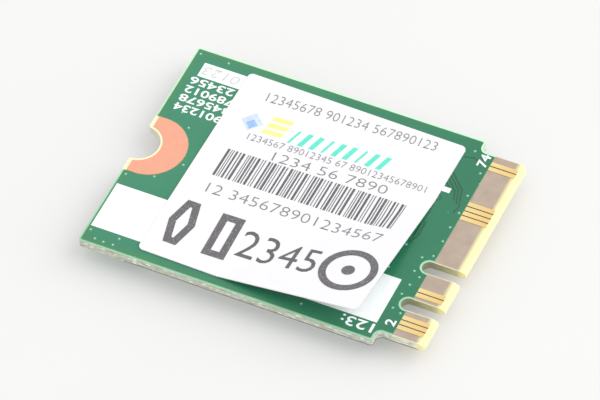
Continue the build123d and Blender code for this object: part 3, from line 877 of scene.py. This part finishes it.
# Each row: digits, middle S and T, length, height, turn and weight
digit_rows = (
    (counting_digits(23, gaps=(8, 14)), 9.96, 18.7, 14.95, 0.92, 3.1, -0.018),
    (counting_digits(31, gaps=(7, 15, 17)), 10.73, 14.33, 15.65, 0.66, 2.8, -0.018),
    (counting_digits(10, gaps=(4, 6)), 10.73, 13.12, 10.0, 0.92, 3.0, -0.018),
    (counting_digits(17, gaps=(2,)), 10.0, 8.12, 15.4, 1.0, 2.0, -0.018),
)
small_print = bmesh.new()
add_rows(small_print, digit_rows)
grey_print = grained_finish(
    "grey print", (132, 130, 133), roughness=0.55, scale=5000, depth=0.25, speck=(226, 224, 226), share=0.1,
)
make_label_print("label_small_digits", small_print, grey_print)

# %% [markdown]
# ## The field of bars
#
# Just above the last row is a field of thin upright bars, darker than the digits. The lists of widths and
# gaps differ in length and run round and round, which gives an uneven rhythm from few numbers.

# %% Field of bars
bar_field_start, bar_field_end = 2.06 * MM, 17.85 * MM
bar_field_middle, bar_field_height = 10.65 * MM, 2.95 * MM
bar_field_climb = 0.5 / 15.8
bar_widths = [width * MM for width in (0.2, 0.06, 0.07, 0.16, 0.09)]
bar_gaps = [gap * MM for gap in (0.13, 0.12, 0.16, 0.2, 0.15, 0.26, 0.12)]

bars = bmesh.new()
edge, number = bar_field_start, 0
while edge < bar_field_end:
    width = bar_widths[number % len(bar_widths)]
    middle = (edge + width / 2, bar_field_middle + (edge - bar_field_start) * bar_field_climb)
    add_bar(bars, middle, width, bar_field_height)
    edge += width + bar_gaps[number % len(bar_gaps)]
    number += 1
bar_print = grained_finish(
    "bar print", (98, 96, 98), roughness=0.55, scale=5000, depth=0.25, speck=(206, 204, 206),
)
make_label_print("label_bars", bars, bar_print)

# %% [markdown]
# ## Bold shapes and large digits
#
# The lowest band of the label has two bold outlines, four large digits and a bold ring with a dot. Bold print
# is a dark grey full of pinholes, where the ink did not reach into the paper's grain.

# %% Bold shapes and large digits
bold_wall = 0.62 * MM
ring_middle, ring_reach, dot_reach = (16.9 * MM, 4.05 * MM), [2.42 * MM] * 2, [0.55 * MM] * 2
hexagon_middle, hexagon_reach = (2.1 * MM, 3.75 * MM), (1.15 * MM, 2.3 * MM)
frame_middle, frame_reach = (5.8 * MM, 3.8 * MM), (1.0 * MM, 2.2 * MM)

bold_print = bmesh.new()
add_ring(bold_print, hexagon_middle, hexagon_reach, bold_wall, sides=6, first_turn=30)
add_ring(bold_print, frame_middle, frame_reach, bold_wall, sides=4, first_turn=45, turn=2)
add_ring(bold_print, ring_middle, ring_reach, bold_wall)
add_ring(bold_print, ring_middle, dot_reach, sides=40)
bold_grey = grained_finish(
    "bold grey print", (104, 101, 105), scale=3000, depth=0.3, speck=(214, 212, 214), share=0.16,
)
make_label_print("label_bold_shapes", bold_print, bold_grey)

large_digits = bmesh.new()
add_rows(large_digits, [("2345", 10.72, 3.95, 6.8, 2.75, 2, -0.006)])
make_label_print("label_large_digits", large_digits, bar_print)

# %% [markdown]
# ## The coloured design
#
# Between the rows of digits is a small design in pale colours: a blue diamond with a clearer core, three
# yellow bars and a row of slanting turquoise bars. Each colour is a piece of its own.

# %% The coloured design
design_turn, design_lean = 3, 0.3
diamond_middle, diamond_reach = (2.55 * MM, 15.45 * MM), [0.95 * MM] * 2
core_middle, core_reach = (2.62 * MM, 15.2 * MM), [0.5 * MM] * 2
yellow_start, yellow_step = (4.6, 15.0), (0.12, 0.74)
turquoise_start, turquoise_step = (6.4, 15.35), (0.98, 0.055)
yellow_length, yellow_width = 1.7 * MM, 0.46 * MM
turquoise_widths, turquoise_height = (0.2 * MM, 0.42 * MM, 0.42 * MM), 1.45 * MM


def step_along(start, step, number):
    """The place of one bar in a row, from the row's start and step in millimetres."""
    return [(first + number * each) * MM for first, each in zip(start, step)]


blue_part, blue_core, yellow_bars, green_bars = (bmesh.new() for _ in range(4))
add_ring(blue_part, diamond_middle, diamond_reach, sides=4, turn=design_turn)
add_ring(blue_core, core_middle, core_reach, sides=4, turn=design_turn, rise=2 * ink_rise)
for number in range(3):
    middle = step_along(yellow_start, yellow_step, number)
    add_bar(yellow_bars, middle, yellow_length, yellow_width, turn=design_turn, lean=design_lean)
for number in range(9):
    middle = step_along(turquoise_start, turquoise_step, number)
    add_bar(green_bars, middle, turquoise_widths[number % 3], turquoise_height, lean=design_lean)

# Each row: piece, shape, ink, colour, scale and depth of its grain, colour of its specks
for name, shape, ink, colour, scale, depth, speck in (
    ("label_blue_diamond", blue_part, "pale blue print", (206, 222, 244), 1600, 0.3, (240, 244, 250)),
    ("label_blue_core", blue_core, "clear blue print", (150, 186, 234), 1600, 0.3, (222, 234, 250)),
    ("label_yellow_bars", yellow_bars, "pale yellow print", (254, 250, 150), 2500, 0.08, (250, 250, 226)),
    ("label_turquoise_bars", green_bars, "turquoise print", (96, 226, 202), 2500, 0.12, (220, 246, 240)),
):
    make_label_print(name, shape, grained_finish(ink, colour, scale=scale, depth=depth, speck=speck))

# %% [markdown]
# ## White legend on the board
#
# The board's own legend is white ink on the lacquer. Two numbers name the first and last contact on this
# face, and a few rows of plain digits stand where such boards have their legend. They read from the far
# side, so they are turned by half a turn, and some run under the label.

# %% Legend
# Each row: digits, middle X and Y, length, height, turn and weight
legend_rows = (
    ("123456", -11.85, 7.58, 4.5, 0.78, 180, 0.018),
    ("789012", -11.9, 6.58, 4.4, 0.78, 180, 0.018),
    ("345678", -11.85, 5.6, 4.5, 0.78, 180, 0.018),
    ("901234", -11.95, 4.6, 4.3, 0.78, 180, 0.018),
    ("2", 11.6, -8.86, 0.62, 0.85, 90, 0.02),
    ("74", 11.6, 9.05, 1.3, 0.86, 90, 0.02),
    ("123:", 9.2, -9.95, 2.8, 0.95, 180, 0.012),
)
legend = bmesh.new()
add_rows(legend, legend_rows)
raise_to(legend, mask_high.z)
make_piece("board_legend", legend, legend_white)

# %% [markdown]
# ## The stamp and the other face's legend
#
# The small white field carries four faint grey digits, as a dot printer leaves them. The face with the shield
# also names its first and last contact. Those digits are read from below, so the finished row is turned over
# about the X axis before it is laid on that face.

# %% Stamp and legend under the card
stamp = bmesh.new()
stamp_middle, stamp_length, stamp_height = (-11.9 * MM, 8.9 * MM), 3.2 * MM, 0.85 * MM
add_digits(stamp, "0123", stamp_middle, stamp_length, stamp_height, turn=180, weight=-0.02, lean=0.2)
raise_to(stamp, ink_top)
stamp_grey = grained_finish(
    "stamp ink", (190, 200, 196), roughness=0.6, scale=3000, speck=(240, 246, 244), share=0.7,
)
make_piece("stamp_digits", stamp, stamp_grey)

low_mask_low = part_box("solder_mask_shield_side")[0]
low_legend_rows = (("1", 11.6, 8.95, 0.12, 0.85, 90, 0.02), ("75", 11.6, -8.95, 1.3, 0.86, 90, 0.02))
low_legend = bmesh.new()
add_rows(low_legend, low_legend_rows)
bmesh.ops.rotate(low_legend, matrix=Matrix.Rotation(math.pi, 3, "X"), verts=low_legend.verts)
raise_to(low_legend, low_mask_low.z)
make_piece("shield_side_legend", low_legend, legend_white)

# %% [markdown]
# ## The gaps between the contacts
#
# Between two neighbouring contacts is a narrow trench, and its shade is painted: a flat dark brown bar lies
# in each trench, well below the gold, so the gaps show as thin dark lines. Contacts have numbers, even on
# this face and odd on the other, and a number gives the place: 38 is in the middle.

# %% Trenches
contact_middle = (contact_low.x + contact_high.x) / 2
middle_number = 38
number_step = 0.25 * MM
trench_width = 0.11 * MM
trench_rise = 0.012 * MM
# Painted shade: dark brown bars stand for the shade in the narrow gaps between the contacts.
painted_trench_shade = grained_finish(
    "painted trench shade", (104, 76, 50), roughness=0.6, scale=4000, depth=0.3, speck=(150, 122, 84),
)

# Each face: its name, the lower number of each pair of contacts, and the height of the bars
for side, pairs, height in (
    ("label_side", (2, 4, 16, 50, 52, 54, 72), board_high.z),
    ("shield_side", (1, 3, 5, *range(33, 57, 2)), board_low.z - trench_rise),
):
    trenches = bmesh.new()
    for number in pairs:
        middle = (contact_middle, (number + 1 - middle_number) * number_step)
        add_bar(trenches, middle, contact_length, trench_width, rise=trench_rise)
    raise_to(trenches, height)
    make_piece("contact_gap_shade_" + side, trenches, painted_trench_shade)

# %% [markdown]
# ## Plated holes
#
# Small plated holes join the board's copper layers. The lacquer closes them, and each shows as a tiny dome
# with a painted glint: a pale cap on top. They go right through, so the same places get a dome below too,
# except where the shield and its solder line cover the board. A place is given from the notch end and from
# the low side.

# %% Plated holes
via_places = (
    (0.48, 1.3), (1.2, 0.6), (1.99, 0.55), (2.83, 0.57), (3.03, 1.32), (0.5, 7.55), (2.74, 8.22),
    (1.85, 15.16), (3.06, 13.89), (4.37, 10.22), (0.48, 21.39), (3.05, 21.36), (19.3, 1.08),
    (25.51, 20.71), (26.85, 18.76), (26.88, 16.25), (26.97, 14.36), (26.93, 12.75), (26.98, 11.21),
    (26.91, 9.56), (26.14, 9.08), (26.15, 7.59), (24.42, 9.8), (26.78, 7.17), (26.4, 6.19),
    (26.2, 5.11), (26.14, 3.57), (26.91, 3.29), (24.09, 7.2),
)
via_radius, glint_radius = 0.12 * MM, 0.07 * MM
via_rise = 0.025 * MM
dome_taper = 0.6
covered_low, covered_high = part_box("shield_track")


def add_dome(shape, spot, radius, away):
    """A flat dome on a face of the board: away is 1 on the labelled face and -1 on the other."""
    lower, upper = (radius, radius * dome_taper) if away > 0 else (radius * dome_taper, radius)
    middle = Matrix.Translation(spot + Vector((0, 0, away * via_rise / 2)))
    bmesh.ops.create_cone(
        shape, cap_ends=True, segments=12, radius1=lower, radius2=upper, depth=via_rise, matrix=middle,
    )


def is_covered(spot):
    """Whether the shield lies over this place."""
    along = covered_low.x - via_radius < spot.x < covered_high.x + via_radius
    across = covered_low.y - via_radius < spot.y < covered_high.y + via_radius
    return along and across


domes, glints = bmesh.new(), bmesh.new()
for from_notch_end, from_low_side in via_places:
    above = Vector((board_low.x + from_notch_end * MM, board_low.y + from_low_side * MM, mask_high.z))
    below = Vector((above.x, above.y, low_mask_low.z))
    for spot, away in ((above, 1),) if is_covered(above) else ((above, 1), (below, -1)):
        add_dome(domes, spot, via_radius, away)
        add_dome(glints, spot + Vector((0, 0, away * via_rise / 2)), glint_radius, away)
make_piece("via_domes", domes, lacquer)
# Painted highlight: a pale cap on each dome stands for its glint.
painted_via_glint = grained_finish("painted via glint", (206, 236, 216), roughness=0.3, scale=4000, depth=0.1)
make_piece("via_painted_glints", glints, painted_via_glint)

# %% [markdown]
# ## Tracks under the lacquer
#
# Tracks lie under the lacquer as low rounded ridges, a little darker than what is round them. Only a few
# show, beside the label. Each one is a curve through its places with a round section. As a mesh it is pressed
# flat and stands half sunk in the lacquer, so its bends are clean mitres.

# %% Tracks
track_radius = 0.07 * MM
track_flatness = 0.16
track_places = (
    ((9.75, 7.1), (11.2, 5.65), (11.72, 3.95), (11.55, 3.2)),
    ((9.75, 6.72), (10.95, 5.5), (11.4, 4.15)),
    ((9.75, 6.3), (10.7, 5.35), (11.05, 4.4)),
    ((9.75, 5.9), (10.4, 5.2)),
    ((9.95, 8.85), (10.75, 9.05), (11.05, 8.9)),
    ((9.75, 4.55), (10.05, 4.2), (9.75, 3.8)),
    ((9.95, 1.5), (9.95, -0.1), (9.6, -0.9)),
    ((9.65, 1.1), (9.65, -0.3)),
)


def add_track(shape, places):
    """One low rounded ridge through these places, given in millimetres on the board's face."""
    curve = bpy.data.curves.new("track", "CURVE")
    curve.dimensions = "3D"
    curve.bevel_depth = track_radius
    curve.bevel_resolution = 2
    curve.use_fill_caps = True
    line = curve.splines.new("POLY")
    line.points.add(len(places) - 1)
    for point, place in zip(line.points, places):
        point.co = (place[0] * MM, place[1] * MM, 0, 1)
    made = add_curve(shape, curve)
    bmesh.ops.scale(shape, vec=(1, 1, track_flatness), verts=made)


tracks = bmesh.new()
for places in track_places:
    add_track(tracks, places)
raise_to(tracks, mask_high.z)
make_piece("dark_tracks", tracks, dark_lacquer)

# %% [markdown]
# ## Sizes, and the end
#
# The finished object has to keep the size of the CAD model, so both boxes are written down side by side.

# %% Write the sizes
made_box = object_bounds()
boxes = {"cad": [list(corner) for corner in cad_box], "visual": [list(corner) for corner in made_box]}
in_mm = {name: [[round(v / MM, 2) for v in corner] for corner in box] for name, box in boxes.items()}
print("boxes in mm", in_mm)
